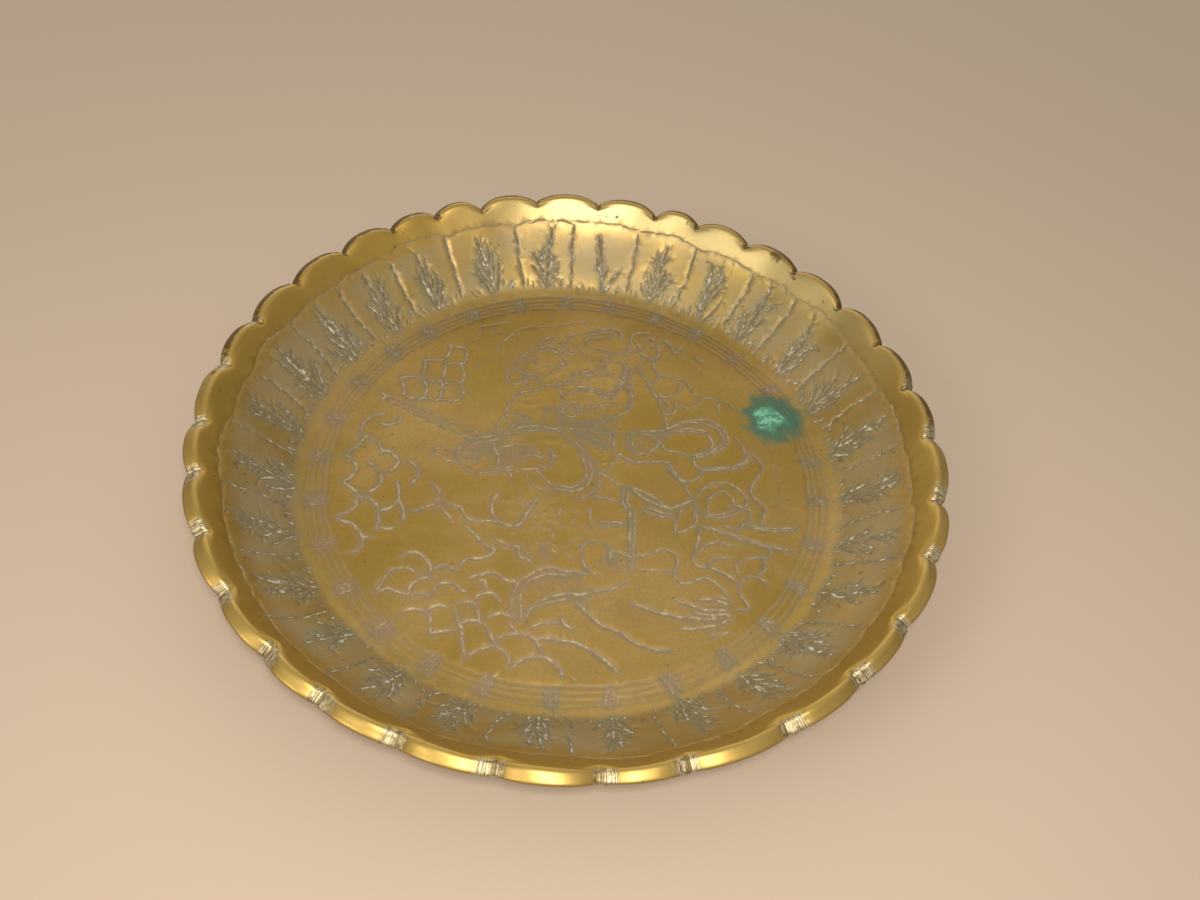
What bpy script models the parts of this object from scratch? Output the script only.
"""Engraved brass charger with a scalloped, turned-over lip on a soldered foot ring.

Metres, +Z up. The origin is at the centre of the foot ring's underside, on the surface
that the plate stands on. A scallop's crest lies on +X, and the plate is made of:

    dish              one sheet of brass: flat floor, coved wall, plain band, ridge and lip
    foot_ring         a strip of brass bent into a ring, standing on its edge
    foot_ring_solder  the fillet of soft solder that holds the ring under the floor
"""
import math

import bpy

# The dish, measured on the upper face of the sheet
SHEET = 0.0012                   # thickness of the brass
LIP_RADIUS = 0.130               # to the lip's edge at the crest of a scallop
FLOOR_RADIUS = 0.0925            # flat floor, to where the cove starts

COVE_RADIUS = 0.011              # bend from the floor up into the wall
WALL_ANGLE = math.radians(42)    # slope of the engraved wall
WALL_LENGTH = 0.014
BAND_BEND = 0.080                # radius of the soft bend above it
BAND_ANGLE = math.radians(51)    # slope of the plain band up to the ridge
RIDGE_RADIUS = 0.0018            # bend over the top, from the band into the lip
LIP_ANGLE = math.radians(-22)    # the lip slopes down and outward
LIP_WIDTH = 0.0034
RIDGE_STEPS = 3                  # facets over the ridge and along the lip
LIP_STEPS = 1

# The scalloped edge
SCALLOPS = 32
SCALLOP_STEPS = 6                # facets along one scallop
SCALLOP_SHARPNESS = 2.6          # 2 is a plain arc, more is flatter with tighter notches
NOTCH_DROP = 0.0027              # how far the ridge dips at a notch
NOTCH_INWARD = 0.0013            # how far in it comes there
NOTCH_BITE = 0.0007              # how much further the lip's edge is cut in

# The foot
FOOT_HEIGHT = 0.0050
FOOT_RADIUS = 0.078              # outer face of the ring
FOOT_THICKNESS = 0.0016
FOOT_EDGE = 0.0003               # chamfer on the ring's two lower edges
SOLDER_LEG = 0.0016              # the fillet's two legs
FOOT_STEPS = 96
GAP = 0.0003                     # clearance kept between touching pieces

FLOOR_Z = FOOT_HEIGHT + GAP + SHEET


def brass(name, colour, roughness):
    """A metal finish for one object."""
    material = bpy.data.materials.new(name)
    material.use_nodes = True
    shader = material.node_tree.nodes["Principled BSDF"]
    shader.inputs["Base Color"].default_value = (*colour, 1)
    shader.inputs["Metallic"].default_value = 1
    shader.inputs["Roughness"].default_value = roughness
    return material


def add_object(name, vertices, faces, material):
    """Link a smooth-shaded mesh object with sharp creases."""
    mesh = bpy.data.meshes.new(name)
    mesh.from_pydata(vertices, [], faces)
    mesh.materials.append(material)
    mesh.shade_smooth()
    mesh.set_sharp_from_angle(angle=math.radians(40))
    item = bpy.data.objects.new(name, mesh)
    bpy.context.scene.collection.objects.link(item)
    return item


def dish_section():
    """Points (radius, height, slope) up the sheet's upper face, from floor to lip edge."""
    bends = [
        # length, turn, number of steps
        (COVE_RADIUS * WALL_ANGLE, WALL_ANGLE, 2),
        (WALL_LENGTH, 0, 1),
        (BAND_BEND * (BAND_ANGLE - WALL_ANGLE), BAND_ANGLE - WALL_ANGLE, 1),
        (None, 0, 1),
        (RIDGE_RADIUS * (BAND_ANGLE - LIP_ANGLE), LIP_ANGLE - BAND_ANGLE, RIDGE_STEPS),
        (LIP_WIDTH, 0, LIP_STEPS),
    ]

    def walk(band_length):
        radius, height, slope = FLOOR_RADIUS, FLOOR_Z, 0.0
        points = [(radius, height, slope)]
        for length, turn, steps in bends:
            length = band_length if length is None else length
            chord = length / steps
            if turn:
                half = turn / steps / 2
                chord *= math.sin(half) / half
            for _ in range(steps):
                heading = slope + turn / steps / 2
                radius += chord * math.cos(heading)
                height += chord * math.sin(heading)
                slope += turn / steps
                points.append((radius, height, slope))
        return points

    # The plain band takes up what is left of the radius
    short = walk(0.0)[-1][0]
    return walk((LIP_RADIUS - short) / math.cos(BAND_ANGLE))


def scallop(angle):
    """1 at a scallop's crest and 0 in the notches, with a crest at angle 0."""
    turn = angle * SCALLOPS / math.tau + 0.5
    across = 2 * (turn - math.floor(turn)) - 1
    return 1 - abs(across) ** SCALLOP_SHARPNESS


def make_dish():
    """One closed sheet: the upper face and the lower face, joined around the lip's edge."""
    section = dish_section()
    ridge_start = len(section) - 1 - LIP_STEPS - RIDGE_STEPS

    # Each point's share of the ridge's dip at a notch, and of the bite into the lip's edge
    shares = []
    for index in range(len(section)):
        shares.append((float(index >= ridge_start), float(index == len(section) - 1)))
    profile = [(radius, height, *share) for (radius, height, _), share in zip(section, shares)]
    # The lower face is one sheet thickness further along the section's normal
    for (radius, height, slope), share in reversed(list(zip(section, shares))):
        profile.append((radius + SHEET * math.sin(slope), height - SHEET * math.cos(slope), *share))

    around = SCALLOPS * SCALLOP_STEPS
    vertices = []
    for radius, height, dip, bite in profile:
        inward = NOTCH_INWARD * dip + NOTCH_BITE * bite
        drop = NOTCH_DROP * dip
        for step in range(around):
            angle = math.tau * step / around
            cut = 1 - scallop(angle)
            r = radius - inward * cut
            vertices.append((r * math.cos(angle), r * math.sin(angle), height - drop * cut))

    faces = [tuple(range(around))]
    for ring in range(len(profile) - 1):
        low, high = ring * around, (ring + 1) * around
        for step in range(around):
            after = (step + 1) % around
            faces.append((low + step, high + step, high + after, low + after))
    last = (len(profile) - 1) * around
    faces.append(tuple(last + step for step in reversed(range(around))))
    return add_object("dish", vertices, faces, brass("aged_brass", (0.36, 0.24, 0.09), 0.36))


def turned_ring(name, outline, material):
    """Turn a closed outline of (radius, height) points, listed anticlockwise, about Z."""
    count = len(outline)
    vertices = []
    for step in range(FOOT_STEPS):
        angle = math.tau * step / FOOT_STEPS
        vertices += [(r * math.cos(angle), r * math.sin(angle), z) for r, z in outline]
    faces = []
    for step in range(FOOT_STEPS):
        this, following = step * count, (step + 1) % FOOT_STEPS * count
        for corner in range(count):
            after = (corner + 1) % count
            faces.append((this + corner, following + corner, following + after, this + after))
    return add_object(name, vertices, faces, material)


def make_foot_ring():
    """The ring stands on its lower edge, just clear of the floor above it."""
    outer, inner = FOOT_RADIUS, FOOT_RADIUS - FOOT_THICKNESS
    outline = [
        (inner + FOOT_EDGE, 0),
        (outer - FOOT_EDGE, 0),
        (outer, FOOT_EDGE),
        (outer, FOOT_HEIGHT),
        (inner, FOOT_HEIGHT),
        (inner, FOOT_EDGE),
    ]
    return turned_ring("foot_ring", outline, brass("foot_brass", (0.40, 0.27, 0.11), 0.42))


def make_solder():
    """A slightly hollow fillet in the inner corner between the ring and the floor."""
    wall = FOOT_RADIUS - FOOT_THICKNESS - GAP
    ceiling = FOOT_HEIGHT
    outline = [
        (wall, ceiling - SOLDER_LEG),
        (wall, ceiling),
        (wall - SOLDER_LEG, ceiling),
        (wall - 0.4 * SOLDER_LEG, ceiling - 0.4 * SOLDER_LEG),
    ]
    return turned_ring("foot_ring_solder", outline, brass("soft_solder", (0.36, 0.36, 0.34), 0.5))


def main():
    """Build every piece of the plate."""
    for item in list(bpy.data.objects):
        bpy.data.objects.remove(item)
    make_dish()
    make_foot_ring()
    make_solder()


main()
